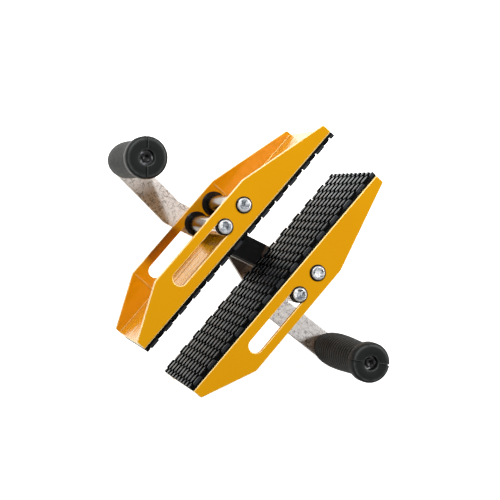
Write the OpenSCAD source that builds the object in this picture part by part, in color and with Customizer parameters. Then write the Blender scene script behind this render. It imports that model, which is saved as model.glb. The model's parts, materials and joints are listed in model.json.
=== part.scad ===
// Double-handed slab and plate carrying clamp, lying on its back.
// X runs across the gap, from the left jaw to the right jaw.
// Y runs along the jaws, towards the fixed-pivot end. Z runs through the jaws' depth,
// from the scissor arms (low, the back) to the open front (high).
// The origin is below the middle of the jaws, level with the lowest pin ends.

/* [Jaws] */
// Length of each jaw channel along Y
jaw_len = 300; // [280:5:320]
// Depth of the jaw channel, over both side plates
jaw_depth = 140; // [130:1:150]
// Plate thickness of the jaw channel
plate_t = 5; // [4:0.5:6]
// Distance from the middle of the gap to the web's outer face
web_x = 34; // [33:0.5:38]
// Distance from the middle of the gap to the tip of the side plate
tip_x = 45; // [43:0.5:48]
// Distance from the middle of the gap to the straight outer edge of the side plate
edge_x = 72; // [70:0.5:76]
// Upper end of the straight outer edge, along Y
bend_hi_y = 48; // [46:1:56]
// Lower end of the straight outer edge, along Y
bend_lo_y = -91; // [-100:1:-88]
// Radius of the folded corners of the channel
fold_r = 2; // [2:0.5:4]
// Radius of the side plate's blunt outer corners
corner_r = 9; // [4:1:14]
// Radius of the side plate's tips
tip_r = 2.2; // [1:0.1:4]
// Half height of the pressed lines that stiffen each side plate
press_r = 0.9; // [0.5:0.1:1.2]

/* [Rubber pads] */
// Thickness of the rubber pad
pad_t = 5.5; // [5:0.5:8.5]
// Gap left between the pad's long edges and the side plates' faces
pad_inset = 0.5; // [0:0.25:2]

/* [Pins and slots] */
// Distance from the middle of the gap to the line of pins
pin_x = 54; // [53:0.5:56]
// Height along Y of the fixed pins
fixed_y = 29.5; // [28:0.5:32]
// Height along Y of the sliding pins with the jaws fully open
slide_y = -0.7; // [-2:0.1:0]
// Lower end of the slot, measured to the centre of its rounded end
slot_end_y = -71.5; // [-76:0.5:-70]
// Half width of the slot
slot_r = 7.8; // [7.2:0.1:8]
// Radius of the pins' shanks
pin_r = 6; // [5:0.5:6]
// Running clearance on radius between a pin and its bush
run_c = 0.05; // [0.02:0.01:0.1]
// Radius of the pins' round heads
head_r = 7.4; // [7:0.1:8]
// Thickness of the pins' round heads
head_t = 2.4; // [2:0.1:3]
// Radius of the front bushes' black rims
rim_r = 8.9; // [8.5:0.1:9.5]
// Thickness of the front bushes' black rims
rim_t = 1.2; // [0.8:0.1:1.6]
// Radius of the rear bushes' wide collars, inside the channel
collar_r = 14; // [11:0.5:14]
// Thickness of the rear bushes' wide collars
collar_t = 2.5; // [1.5:0.1:3]
// Outer radius of the polished spacer tubes inside the channel
tube_r = 9.5; // [8.5:0.5:10]

/* [Arms] */
// Width of the flat arms
arm_w = 29.5; // [28:0.5:30]
// Thickness of the flat arms
arm_t = 8; // [6:0.5:8]
// Distance from the middle of the gap to the bend in each arm
elbow_x = 82; // [80:1:90]
// Distance from the middle of the gap to the grip's axis
grip_x = 163.5; // [160:0.5:170]
// Height along Y of the grip's axis
grip_y = -3.5; // [-8:0.5:2]
// Gap between the back side plates and the upper arm
arm_gap = 6; // [6:0.5:8]
// Thickness of the thrust washer between the two arms
thrust_t = 1; // [1:0.5:2]
// Radius of the round spacers between side plate and arm
spacer_r = 11; // [10:0.5:11.5]
// Length of the rubber stop along the upper arm
stop_len = 62; // [50:1:66]
// Thickness of the rubber stop
stop_t = 3.9; // [3:0.1:3.9]

/* [Grips] */
// Length of each grip
grip_len = 157; // [140:1:165]
// Radius of the grip's end collar
grip_end_r = 22; // [20:0.5:24]
// Radius of the steel post that the grip turns on
post_r = 7; // [6.5:0.5:7]
// Radius of the recess in the grip's end
recess_r = 7.8; // [7.6:0.1:8.5]
// Depth of the recess in the grip's end
recess_d = 10; // [9:0.5:12]
// Radius of the shank of the screw that holds the grip on its post
screw_r = 3; // [2.5:0.5:3]
// Length of the thread of the screw that holds the grip on its post
screw_len = 18; // [12:1:25]
// Number of grooves round the grip
rib_n = 18; // [12:1:22]

/* [Hidden] */

$fn = 64;
overlap = 0.01; // sinks one solid into the next
over = 1;       // reach of a cut past the face it opens

paint = "#E8A400";
black = "#242424";
zinc = "#B9BDC1";
steel = "#D6D8DA";

// Fasteners
tail = 1.5; // pin end left showing below its nut
nut_h = 8;
nut_flats = 19;
wash_t = 1.5;
wash_r = 12;
thrust_r = 14;
chamfer = 0.8; // on pin ends and pin heads
bore_r = pin_r + run_c;
sleeve_r = slot_r - 0.1;

// Clearances
end_c = 0.1;    // where a turning or sliding face meets a fixed one
thrust_c = 0.05; // at the pivot's washers
tube_c = 0.3;   // at each end of a spacer tube
lift = 0.3;     // of a grip, above its arm and below its washer

// Stack along Z, from the lowest pin end upwards
low_arm_z = tail + nut_h + wash_t;
low_arm_top = low_arm_z + arm_t;
high_arm_z = low_arm_top + thrust_t;
high_arm_top = high_arm_z + arm_t;
back_z = high_arm_top + arm_gap;
front_z = back_z + jaw_depth;

// The arms cross midway between a fixed and a sliding pin
pivot_y = (fixed_y + slide_y) / 2;
slope = (fixed_y - slide_y) / (2 * pin_x);
elbow_y = pivot_y - elbow_x * slope;

// Pin and grip axes in X and Y
function flip(spot) = [-spot[0], spot[1]];
left_fixed = [-pin_x, fixed_y];
left_slide = [-pin_x, slide_y];
left_grip_at = [-grip_x, grip_y];
right_fixed = flip(left_fixed);
right_slide = flip(left_slide);
right_grip_at = flip(left_grip_at);
pivot_at = [0, pivot_y];

// What each arm clamps: its grip post, its sliding pin and the other jaw's fixed pin
left_arm_spots = [left_grip_at, left_slide, right_fixed];
right_arm_spots = [for (spot = left_arm_spots) flip(spot)];

// ---- Shared shapes ----

module at(spot) { translate([spot[0], spot[1], 0]) children(); }

// Upright cylinder between two heights
module rod(r, z0, z1) { translate([0, 0, z0]) cylinder(r = r, h = z1 - z0); }

module cone(r_low, r_high, z0, h) {
    translate([0, 0, z0]) cylinder(r1 = r_low, r2 = r_high, h = h);
}

// Cutter for a hole through everything between two heights
module hole(r, z0, z1) { rod(r, z0 - over, z1 + over); }

module ring(r_out, r_in, z0, z1) {
    difference() {
        rod(r_out, z0, z1);
        hole(r_in, z0, z1);
    }
}

function unit(v) = v / norm(v);
// Direction from corner i to its neighbour before (step -1) or after (step 1)
function edge_dir(points, i, step) =
    unit(points[(i + step + len(points)) % len(points)] - points[i]);
function half_angle(points, i) =
    acos(edge_dir(points, i, -1) * edge_dir(points, i, 1)) / 2;

// A convex outline with each corner rounded to its own radius:
// a polygon through the tangent points, and a circle in each corner
module rounded_outline(points, radii) {
    last = len(points) - 1;
    polygon([for (i = [0 : last], step = [-1, 1])
        points[i] + edge_dir(points, i, step) * radii[i] / tan(half_angle(points, i))]);
    for (i = [0 : last])
        translate(points[i] + unit(edge_dir(points, i, -1) + edge_dir(points, i, 1))
                  * radii[i] / sin(half_angle(points, i)))
            circle(r = radii[i]);
}

// ---- Jaws, drawn as the right jaw ----

// Side plate outline, reaching a little past the web towards the gap
module plate_outline() {
    past_web_x = web_x - 0.5;
    past_web_r = 0.4;
    end_y = jaw_len / 2;
    rounded_outline(
        [[past_web_x, -end_y], [tip_x, -end_y], [edge_x, bend_lo_y],
         [edge_x, bend_hi_y], [tip_x, end_y], [past_web_x, end_y]],
        [past_web_r, tip_r, corner_r, corner_r, tip_r, past_web_r]);
}

// Rectangle from [x, z], rounded at its two corners nearest the gap
module fold_block(x, z, width, depth, r) {
    translate([x + r, z]) square([width, depth]);
    translate([x, z + r]) square([r + 1, depth - 2 * r]);
    for (corner_z = [z + r, z + depth - r])
        translate([x + r, corner_z]) circle(r = r);
}

// Folded channel section, drawn in X and Z and open on the side away from the gap.
// Both widths reach past the side plate's outline, which trims them.
module channel_section() {
    inner_r = max(fold_r - plate_t / 2, 0.8);
    difference() {
        fold_block(web_x, back_z, 60, jaw_depth, fold_r);
        fold_block(web_x + plate_t, back_z + plate_t, 70, jaw_depth - 2 * plate_t, inner_r);
    }
}

module slot_cut(top_y) {
    for (y = [top_y, slot_end_y])
        at([pin_x, y]) hole(slot_r, back_z, front_z);
    translate([pin_x - slot_r, slot_end_y, back_z - over])
        cube([2 * slot_r, top_y - slot_end_y, jaw_depth + 2 * over]);
}

// Pressed stiffening line across the inside of a side plate
module press_line(y, z) {
    start_x = web_x + plate_t + 1;
    end_x = edge_x - 3;
    translate([start_x, y, z]) rotate([0, 90, 0])
        cylinder(r = press_r, h = end_x - start_x);
}

module jaw_body() {
    press_inset = 1.5; // from the ends of the straight outer edge
    fit_c = 0.05;      // round the fixed bushes' sleeves
    slot_spare = 0.6;  // slot beyond the sliding pin with the jaws fully open
    difference() {
        union() {
            intersection() {
                translate([0, jaw_len / 2 + over, 0]) rotate([90, 0, 0])
                    linear_extrude(jaw_len + 2 * over) channel_section();
                translate([0, 0, back_z - over])
                    linear_extrude(jaw_depth + 2 * over) plate_outline();
            }
            for (y = [bend_hi_y - press_inset, bend_lo_y + press_inset],
                 z = [back_z + plate_t, front_z - plate_t])
                press_line(y, z);
        }
        at(right_fixed) hole(sleeve_r + fit_c, back_z, front_z);
        slot_cut(slide_y + slot_spare);
    }
}

module pad_body() {
    translate([web_x - pad_t, -jaw_len / 2, back_z + pad_inset])
        cube([pad_t, jaw_len, jaw_depth - 2 * pad_inset]);
}

module left_jaw() { color(paint) mirror([1, 0, 0]) jaw_body(); }
module right_jaw() { color(paint) jaw_body(); }
module left_pad() { color(black) mirror([1, 0, 0]) pad_body(); }
module right_pad() { color(black) pad_body(); }

// ---- Arms, drawn as the left arm: pinned to the right jaw, carrying the left grip ----

sink_d = 4.2; // depth of the countersink for the pivot bolt

// Straight to the elbow, then bent, with round ends and a round outer elbow
module arm_solid(z) {
    elbow = [-elbow_x, elbow_y];
    inboard = unit(elbow - right_fixed);
    outboard = unit(left_grip_at - elbow);
    // Half-width steps square to each straight
    in_side = [-inboard[1], inboard[0]] * arm_w / 2;
    out_side = [-outboard[1], outboard[0]] * arm_w / 2;
    inner_elbow = elbow
        - unit(in_side + out_side) * arm_w / 2 / cos(acos(inboard * outboard) / 2);
    translate([0, 0, z]) linear_extrude(arm_t)
        polygon([right_fixed + in_side, elbow + in_side, elbow + out_side,
                 left_grip_at + out_side, left_grip_at - out_side,
                 inner_elbow, right_fixed - in_side]);
    // A hair narrower than the arm, so the rounds stay inside its edges
    for (centre = [right_fixed, elbow, left_grip_at])
        translate([centre[0], centre[1], z]) cylinder(d = arm_w - 0.04, h = arm_t);
}

module arm_body(z, countersunk) {
    difference() {
        arm_solid(z);
        for (spot = concat(left_arm_spots, [pivot_at]))
            at(spot) hole(bore_r, z, z + arm_t);
        if (countersunk)
            at(pivot_at) cone(pin_r + 0.1, pin_r + 4.4, z + arm_t - sink_d, sink_d + 0.1);
    }
}

// Rubber sheet on the upper arm that the edge of the slab rests against
module slab_stop() {
    half_len = stop_len / 2;
    half_w = arm_w / 2;
    color(black) translate([0, pivot_y, high_arm_top]) rotate(atan(slope))
        linear_extrude(stop_t) rounded_outline(
            [[-half_len, -half_w], [half_len, -half_w],
             [half_len, half_w], [-half_len, half_w]], [2, 2, 2, 2]);
}

module left_arm() { color(zinc) arm_body(high_arm_z, true); }
module right_arm() { color(zinc) mirror([1, 0, 0]) arm_body(low_arm_z, false); }

// ---- Pins, bushes, tubes and spacers ----

// Low end of a pin or post clamped in the arm whose underside is at arm_z
function pin_end(arm_z) = arm_z - wash_t - nut_h - tail;

// Shank with a chamfered low end
module shank(z0, z1) {
    rod(pin_r, z0 + chamfer, z1);
    cone(pin_r - chamfer, pin_r, z0, chamfer);
}

// Pin whose head stands on the front bush
module pin(arm_z) {
    head_z = front_z + rim_t;
    chamfer_z = head_z + head_t - chamfer;
    rod(head_r, head_z, chamfer_z);
    cone(head_r, head_r - chamfer, chamfer_z, chamfer);
    shank(pin_end(arm_z), head_z + overlap);
}

module left_fixed_pin() { color(steel) at(left_fixed) pin(low_arm_z); }
module right_fixed_pin() { color(steel) at(right_fixed) pin(high_arm_z); }
module left_slide_pin() { color(steel) at(left_slide) pin(high_arm_z); }
module right_slide_pin() { color(steel) at(right_slide) pin(low_arm_z); }

// Sleeve through the front side plate, with a rim that clears its outside by gap
module front_bush(gap) {
    difference() {
        union() {
            rod(rim_r, front_z + gap, front_z + rim_t);
            rod(sleeve_r, front_z - plate_t, front_z + gap + overlap);
        }
        hole(bore_r, front_z - plate_t, front_z + rim_t);
    }
}

// Sleeve through the back side plate, with a collar that clears its inside by gap
module rear_bush(gap) {
    inside_z = back_z + plate_t;
    difference() {
        union() {
            rod(collar_r, inside_z + gap, inside_z + collar_t);
            rod(sleeve_r, back_z, inside_z + gap + overlap);
        }
        hole(bore_r, back_z, inside_z + collar_t);
    }
}

module left_fixed_front_bush() { color(black) at(left_fixed) front_bush(0); }
module right_fixed_front_bush() { color(black) at(right_fixed) front_bush(0); }
module left_slide_front_bush() { color(black) at(left_slide) front_bush(end_c); }
module right_slide_front_bush() { color(black) at(right_slide) front_bush(end_c); }
module left_fixed_rear_bush() { color(black) at(left_fixed) rear_bush(0); }
module right_fixed_rear_bush() { color(black) at(right_fixed) rear_bush(0); }
module left_slide_rear_bush() { color(black) at(left_slide) rear_bush(end_c); }
module right_slide_rear_bush() { color(black) at(right_slide) rear_bush(end_c); }

// Spacer tube between the rear bush's collar and the front side plate
module tube() {
    ring(tube_r, bore_r, back_z + plate_t + collar_t + tube_c, front_z - plate_t - tube_c);
}

module left_fixed_tube() { color(steel) at(left_fixed) tube(); }
module right_fixed_tube() { color(steel) at(right_fixed) tube(); }
module left_slide_tube() { color(steel) at(left_slide) tube(); }
module right_slide_tube() { color(steel) at(right_slide) tube(); }

// Round spacer between an arm and the back side plate
module spacer(arm_top) { ring(spacer_r, bore_r, arm_top, back_z - end_c); }

module left_fixed_spacer() { color(steel) at(left_fixed) spacer(low_arm_top); }
module right_fixed_spacer() { color(steel) at(right_fixed) spacer(high_arm_top); }
module left_slide_spacer() { color(steel) at(left_slide) spacer(high_arm_top); }
module right_slide_spacer() { color(steel) at(right_slide) spacer(low_arm_top); }

// ---- Washers and nuts below the arms ----

// Hexagon nut under a washer, with its low corners chamfered
module nut(arm_z) {
    z = arm_z - wash_t - nut_h;
    flat_r = nut_flats / 2;
    clear_r = flat_r + 1.6; // outside the hexagon's corners
    difference() {
        intersection() {
            rod(flat_r / cos(30), z, z + nut_h, $fn = 6);
            union() {
                cone(flat_r - 0.2, clear_r, z, 1);
                rod(clear_r, z + 1, z + nut_h);
            }
        }
        hole(bore_r, z, z + nut_h);
    }
}

module arm_washers(spots, arm_z) {
    for (spot = spots) at(spot) ring(wash_r, bore_r, arm_z - wash_t, arm_z);
}
module arm_nuts(spots, arm_z) {
    for (spot = spots) at(spot) nut(arm_z);
}

module left_arm_washers() { color(zinc) arm_washers(left_arm_spots, high_arm_z); }
module right_arm_washers() { color(zinc) arm_washers(right_arm_spots, low_arm_z); }
module left_arm_nuts() { color(zinc) arm_nuts(left_arm_spots, high_arm_z); }
module right_arm_nuts() { color(zinc) arm_nuts(right_arm_spots, low_arm_z); }

// ---- Pivot where the arms cross ----

// Countersunk bolt through both arms, its head just below the upper arm's face
module pivot_bolt() {
    color(steel) at(pivot_at) {
        shank(0, high_arm_top - 0.1);
        cone(pin_r, pin_r + 4, high_arm_top - sink_d + 0.15, 4);
    }
}
module pivot_thrust_washer() {
    color(black) at(pivot_at) ring(thrust_r, bore_r, low_arm_top + thrust_c, high_arm_z);
}
module pivot_washer() {
    color(zinc) at(pivot_at) ring(wash_r, bore_r, low_arm_z - wash_t, low_arm_z - thrust_c);
}
module pivot_nut() { color(zinc) at(pivot_at) nut(low_arm_z); }

// ---- Grips ----

recess_z = grip_len - recess_d;
screw_bore_r = screw_r + run_c;
grip_wash_t = 1.2;

// Grip outline from root to end collar: [height, radius].
// Heights are for a grip of table_len and stretch with grip_len.
table_len = 157;
grip_stations = [
    [0, 14.2], [2, 15.2], [8, 16.8], [16, 18.3], [28, 19.5], [42, 20.2], [58, 20.3],
    [76, 19.9], [94, 19.2], [112, 18.6], [128, 18.2], [138, 18.2],
    [141, 18.4], [142.4, 20.2], [143.4, grip_end_r - 0.5], [144.6, grip_end_r]];
// Rounding of the end collar: [distance below the end face, inset from grip_end_r]
end_round = [[4.6, 0], [2.6, 0.5], [1.1, 1.8], [0.25, 3.6], [0, 5.2]];

// Grooved part, in the table's heights
groove_lo = 14;
groove_hi = 136;
groove_d = 0.8;
groove_share = 0.3; // of the groove spacing

// Half profile of the grip, with grooves round its body and a rounded end collar
module grip_profile() {
    stretch = grip_len / table_len;
    pitch = (groove_hi - groove_lo) / rib_n;
    difference() {
        polygon(concat(
            [[0, 0]],
            [for (station = grip_stations) [station[1], station[0] * stretch]],
            [for (step = end_round) [grip_end_r - step[1], grip_len - step[0]]],
            [[0, grip_len]]));
        for (i = [0 : rib_n - 1]) {
            height = groove_lo + i * pitch;
            translate([lookup(height, grip_stations) - groove_d, height * stretch])
                square([3, pitch * groove_share]);
        }
    }
}

// Moulded grip, root at z = 0, with a flared recess in its end
// and a straight groove across its end face, turned by the given angle
module grip_body(turn) {
    line_w = 1.2;
    line_d = 0.9;
    difference() {
        rotate_extrude() grip_profile();
        rod(post_r + run_c, -over, grip_len - over);
        rod(recess_r, recess_z, grip_len + over);
        cone(recess_r, recess_r + 1.2, grip_len - 1, 1.05);
        rotate(turn) translate([-grip_end_r - over, -line_w / 2, grip_len - line_d])
            cube([2 * (grip_end_r + over), line_w, 2]);
    }
}

function post_top(arm_z) = arm_z + arm_t + recess_z + 2 * lift;

// Steel post that the grip turns on, shouldered on the arm and clamped by its threaded stud
module grip_post(arm_z) {
    top = post_top(arm_z);
    shoulder_z = arm_z + arm_t;
    difference() {
        union() {
            rod(post_r, shoulder_z, top);
            shank(pin_end(arm_z), shoulder_z + overlap);
        }
        rod(screw_bore_r, top - screw_len - 3, top + over);
    }
}

module grip_washer(arm_z) {
    ring(recess_r - 0.2, screw_bore_r, post_top(arm_z), post_top(arm_z) + grip_wash_t);
}

// Socket cap screw in the grip's recess
module grip_screw(arm_z) {
    cap_r = 5;
    cap_h = 6;
    cap_chamfer = 0.6;
    socket_flats = 5;
    z = post_top(arm_z) + grip_wash_t;
    difference() {
        union() {
            rod(cap_r, z, z + cap_h - cap_chamfer);
            cone(cap_r, cap_r - cap_chamfer, z + cap_h - cap_chamfer, cap_chamfer);
            rod(screw_r, z - screw_len, z + overlap);
        }
        rod(socket_flats / 2 / cos(30), z + 3, z + cap_h + over, $fn = 6);
    }
}

module left_grip() {
    color(black) at(left_grip_at) translate([0, 0, high_arm_top + lift]) grip_body(130);
}
module right_grip() {
    color(black) at(right_grip_at) translate([0, 0, low_arm_top + lift]) grip_body(33);
}
module left_grip_post() { color(steel) at(left_grip_at) grip_post(high_arm_z); }
module right_grip_post() { color(steel) at(right_grip_at) grip_post(low_arm_z); }
module left_grip_screw() { color(black) at(left_grip_at) grip_screw(high_arm_z); }
module right_grip_screw() { color(black) at(right_grip_at) grip_screw(low_arm_z); }
module left_grip_washer() { color(zinc) at(left_grip_at) grip_washer(high_arm_z); }
module right_grip_washer() { color(zinc) at(right_grip_at) grip_washer(low_arm_z); }

left_jaw();
right_jaw();
left_pad();
right_pad();
left_arm();
right_arm();
left_fixed_pin();
right_fixed_pin();
left_slide_pin();
right_slide_pin();
left_fixed_front_bush();
right_fixed_front_bush();
left_slide_front_bush();
right_slide_front_bush();
left_fixed_rear_bush();
right_fixed_rear_bush();
left_slide_rear_bush();
right_slide_rear_bush();
left_fixed_tube();
right_fixed_tube();
left_slide_tube();
right_slide_tube();
left_fixed_spacer();
right_fixed_spacer();
left_slide_spacer();
right_slide_spacer();
left_arm_washers();
right_arm_washers();
left_arm_nuts();
right_arm_nuts();
pivot_bolt();
pivot_thrust_washer();
pivot_washer();
pivot_nut();
slab_stop();
left_grip();
right_grip();
left_grip_post();
right_grip_post();
left_grip_screw();
right_grip_screw();
left_grip_washer();
right_grip_washer();
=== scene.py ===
# A scissor clamp lying face up: two yellow channel jaws with ribbed rubber pads, two crossed
# flat arms with a pivot, pins and spacer tubes, and two upright hand grips.
# The jaws run along y and face each other across x, the right one at +x. Pins, tubes and
# grips stand along z; "front" is the +z side of the jaws and "rear" the -z side.
# Shapes are drawn in millimetres in the frame of the CAD, and scaled to metres when built.

import json
import math

import bmesh
import bpy
import numpy as np
from mathutils import Matrix, Vector
from mathutils.geometry import delaunay_2d_cdt

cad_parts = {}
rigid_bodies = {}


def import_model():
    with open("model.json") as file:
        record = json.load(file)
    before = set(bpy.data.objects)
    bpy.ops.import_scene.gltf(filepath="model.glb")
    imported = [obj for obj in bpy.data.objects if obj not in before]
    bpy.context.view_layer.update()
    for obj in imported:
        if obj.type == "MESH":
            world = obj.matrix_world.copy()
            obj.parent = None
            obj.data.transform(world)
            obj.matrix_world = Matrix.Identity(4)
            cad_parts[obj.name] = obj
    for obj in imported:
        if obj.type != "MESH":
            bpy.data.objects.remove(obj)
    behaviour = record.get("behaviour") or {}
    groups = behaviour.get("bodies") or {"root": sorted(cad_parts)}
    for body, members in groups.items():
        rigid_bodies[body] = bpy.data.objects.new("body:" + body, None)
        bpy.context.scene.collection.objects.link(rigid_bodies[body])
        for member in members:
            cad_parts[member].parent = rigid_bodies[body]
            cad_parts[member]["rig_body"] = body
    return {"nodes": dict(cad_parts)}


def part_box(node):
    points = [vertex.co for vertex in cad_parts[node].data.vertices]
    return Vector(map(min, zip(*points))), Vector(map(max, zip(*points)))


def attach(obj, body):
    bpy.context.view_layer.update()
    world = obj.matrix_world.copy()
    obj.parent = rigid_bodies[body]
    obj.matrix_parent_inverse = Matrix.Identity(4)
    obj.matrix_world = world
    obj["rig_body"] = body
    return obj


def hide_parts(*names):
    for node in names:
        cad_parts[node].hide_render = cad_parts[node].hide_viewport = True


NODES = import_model()["nodes"]
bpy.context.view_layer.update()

MM = 0.001                # metres in a millimetre
WELD_DISTANCE = 1e-3      # points closer than this become one
DEGENERATE_EDGE = 1e-4    # edges shorter than this are dissolved
EDGE_STEPS = 3            # steps in the rounding of a plate's cut edge
HEX_SEGMENTS = 96         # steps round nuts and the socket screws

JAW_SHEET = 5.0           # thickness of the jaw channel
BORE_RADIUS = 6.05        # clearance round the 12 mm pins
THREAD_RADIUS = 6.0
SHANK_RADIUS = 5.98
NUT_ACROSS_FLATS = 19.0
ARM_WASHER_RADIUS = 12.0
SCREW_BORE_RADIUS = 3.05  # clearance round the grip screws


# ---------------------------------------------------------------- CAD measures

def box_mm(node):
    """Lowest and highest corner of a CAD node."""
    low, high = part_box(node)
    return np.array(low) * 1000, np.array(high) * 1000


def centre(node):
    low, high = box_mm(node)
    return (low + high) / 2


def centre_xy(node):
    return tuple(centre(node)[:2])


def round_part(node):
    """Axis (x, y), radius, lowest z and highest z of an upright round node."""
    low, high = box_mm(node)
    return centre_xy(node), (high[0] - low[0]) / 2, low[2], high[2]


FRONT = box_mm("right_jaw")[1][2]
REAR = box_mm("right_jaw")[0][2]


# ---------------------------------------------------------------- plane geometry

def unit(v):
    v = np.asarray(v, float)
    return v / np.linalg.norm(v)


def angle_of(v):
    return math.atan2(v[1], v[0])


def wrapped(angle):
    """The same angle between -pi and pi."""
    return (angle + math.pi) % (2 * math.pi) - math.pi


def arc(middle, radius, start, end, steps):
    return [np.array([middle[0] + radius * math.cos(start + (end - start) * i / steps),
                      middle[1] + radius * math.sin(start + (end - start) * i / steps)])
            for i in range(steps + 1)]


def circle(middle, radius, count):
    return arc(middle, radius, 0, 2 * math.pi * (count - 1) / count, count - 1)


def corner(before, point, after, radius, step):
    """Points that round one corner of an outline, at most step degrees apart."""
    before, point, after = (np.asarray(q, float) for q in (before, point, after))
    back, on = unit(before - point), unit(after - point)
    opening = math.acos(float(back @ on))
    middle = point + unit(back + on) * radius / math.sin(opening / 2)
    first = point + back * radius / math.tan(opening / 2) - middle
    last = point + on * radius / math.tan(opening / 2) - middle
    start = angle_of(first)
    sweep = wrapped(angle_of(last) - start)
    count = max(2, math.ceil(abs(sweep) / math.radians(step)))
    return arc(middle, radius, start, start + sweep, count)


def rounded(points, radii, step):
    """A closed outline with each corner rounded."""
    out = []
    for i, radius in enumerate(radii):
        out += corner(points[i - 1], points[i], points[(i + 1) % len(points)], radius, step)
    return out


def signed_area(loop):
    a = np.array(loop)
    b = np.roll(a, -1, 0)
    return 0.5 * float((a[:, 0] * b[:, 1] - a[:, 1] * b[:, 0]).sum())


def left_normals(loop):
    """Offset of each point of a loop towards its left side, for a unit inset."""
    along = np.roll(loop, -1, 0) - loop
    along /= np.linalg.norm(along, axis=1)[:, None]
    normal = np.stack([-along[:, 1], along[:, 0]], 1)
    mitre = normal + np.roll(normal, 1, 0)
    mitre /= np.linalg.norm(mitre, axis=1)[:, None]
    return mitre / np.clip((mitre * normal).sum(1), 0.4, 1)[:, None]


def inside(point, loop):
    x, y, hit = point[0], point[1], False
    for (x0, y0), (x1, y1) in zip(loop, loop[1:] + loop[:1]):
        if (y0 > y) != (y1 > y) and x < (x1 - x0) * (y - y0) / (y1 - y0) + x0:
            hit = not hit
    return hit


# ---------------------------------------------------------------- solids

class Shape:
    """Vertices, faces, and for each face a share 0..1 of paler colour: worn surfaces and painted
    highlight.
    """

    def __init__(self):
        self.verts, self.faces, self.wear = [], [], []

    def add(self, verts, faces, wear=0.0):
        """Adds faces numbered from these vertices; the paler-colour share is one value or one per
        face.
        """
        start = len(self.verts)
        self.verts += [tuple(float(c) for c in v) for v in verts]
        self.faces += [tuple(i + start for i in f) for f in faces]
        self.wear += wear if isinstance(wear, list) else [wear] * len(faces)

    def mirrored(self):
        """The same shape across x = 0."""
        out = Shape()
        out.add([(-x, y, z) for x, y, z in self.verts],
                [tuple(reversed(f)) for f in self.faces], list(self.wear))
        return out


def build(name, shape, node, material, sharp=42, weighted=True, weld=True):
    """Makes the object that stands for a CAD node. Edges over sharp degrees stay hard."""
    mesh = bpy.data.meshes.new(name)
    mesh.from_pydata([(x * MM, y * MM, z * MM) for x, y, z in shape.verts], [], shape.faces)
    mesh.attributes.new("wear", "FLOAT", "FACE").data.foreach_set("value", shape.wear)
    mesh.validate()
    bm = bmesh.new()
    bm.from_mesh(mesh)
    if weld:
        bmesh.ops.remove_doubles(bm, verts=bm.verts, dist=WELD_DISTANCE * MM)
        bmesh.ops.dissolve_degenerate(bm, edges=bm.edges, dist=DEGENERATE_EDGE * MM)
    bmesh.ops.recalc_face_normals(bm, faces=bm.faces)
    for face in bm.faces:
        face.smooth = True
    for edge in bm.edges:
        edge.smooth = not (len(edge.link_faces) == 2
                           and edge.calc_face_angle(0.0) > math.radians(sharp))
    bm.to_mesh(mesh)
    bm.free()
    obj = bpy.data.objects.new(name, mesh)
    bpy.context.scene.collection.objects.link(obj)
    mesh.materials.append(MATERIALS[material])
    if weighted:
        modifier = obj.modifiers.new("Normals", "WEIGHTED_NORMAL")
        modifier.keep_sharp, modifier.weight = True, 80
    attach(obj, NODES[node]["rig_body"])
    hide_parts(node)


def plate(outer, holes, thickness, edge_radius, to3d, cuts=()):
    """A plate with rounded cut edges. to3d(u, v, depth) places a point below its top face.
    cuts are straight lines that the faces must follow, for a fold."""
    shape = Shape()
    rounding = []
    for step in range(EDGE_STEPS + 1):
        angle = math.pi / 2 * step / EDGE_STEPS
        rounding.append((edge_radius * (1 - math.sin(angle)), edge_radius * (1 - math.cos(angle))))
    rings = rounding + [(inset, thickness - depth) for inset, depth in reversed(rounding)]
    flat_points, flat_edges, insets = [], [], []
    for number, loop in enumerate([outer, *holes]):
        # the outer loop runs anticlockwise and holes clockwise, so material is on the left
        if (signed_area(loop) > 0) != (number == 0):
            loop = loop[::-1]
        loop = np.array(loop)
        normals = left_normals(loop)
        n = len(loop)
        bands = range(len(rings) - 1)
        # the rounded cut edges get a full share of paler colour: worn surfaces and painted
        # highlight
        shape.add([to3d(*point, depth) for inset, depth in rings
                   for point in loop + normals * inset],
                  [(j * n + i, (j + 1) * n + i, (j + 1) * n + (i + 1) % n, j * n + (i + 1) % n)
                   for j in bands for i in range(n)],
                  [0.0 if j == EDGE_STEPS else 1.0 for j in bands for i in range(n)])
        inset_loop = [tuple(point) for point in loop + normals * edge_radius]
        insets.append(inset_loop)
        start = len(flat_points)
        flat_points += inset_loop
        flat_edges += [(start + i, start + (i + 1) % n) for i in range(n)]
    for cut in cuts:
        start = len(flat_points)
        flat_points += cut
        flat_edges.append((start, start + 1))
    result = delaunay_2d_cdt([Vector(p) for p in flat_points], flat_edges, [], 0, 1e-5)
    points, triangles = result[0], result[2]
    kept = []
    for f in triangles:
        middle = (points[f[0]] + points[f[1]] + points[f[2]]) / 3
        if inside(middle, insets[0]) and not any(inside(middle, h) for h in insets[1:]):
            kept.append(tuple(f))
    shape.add([to3d(p[0], p[1], 0.0) for p in points], kept)
    shape.add([to3d(p[0], p[1], thickness) for p in points], [tuple(reversed(f)) for f in kept])
    return shape


def band_faces(rows, columns, closed=False):
    """Quads between rings of vertices; closed also joins the last ring to the first."""
    return [(j * columns + i, j * columns + (i + 1) % columns,
             (j + 1) % rows * columns + (i + 1) % columns, (j + 1) % rows * columns + i)
            for j in range(rows if closed else rows - 1) for i in range(columns)]


def around(axis, rows, turn=0.0):
    """Vertices from rows of (radius, z), each row going once round the axis."""
    verts = []
    for row in rows:
        for i, (radius, z) in enumerate(row):
            angle = 2 * math.pi * i / len(row) + turn
            verts.append((axis[0] + radius * math.cos(angle),
                          axis[1] + radius * math.sin(angle), z))
    return verts


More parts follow.
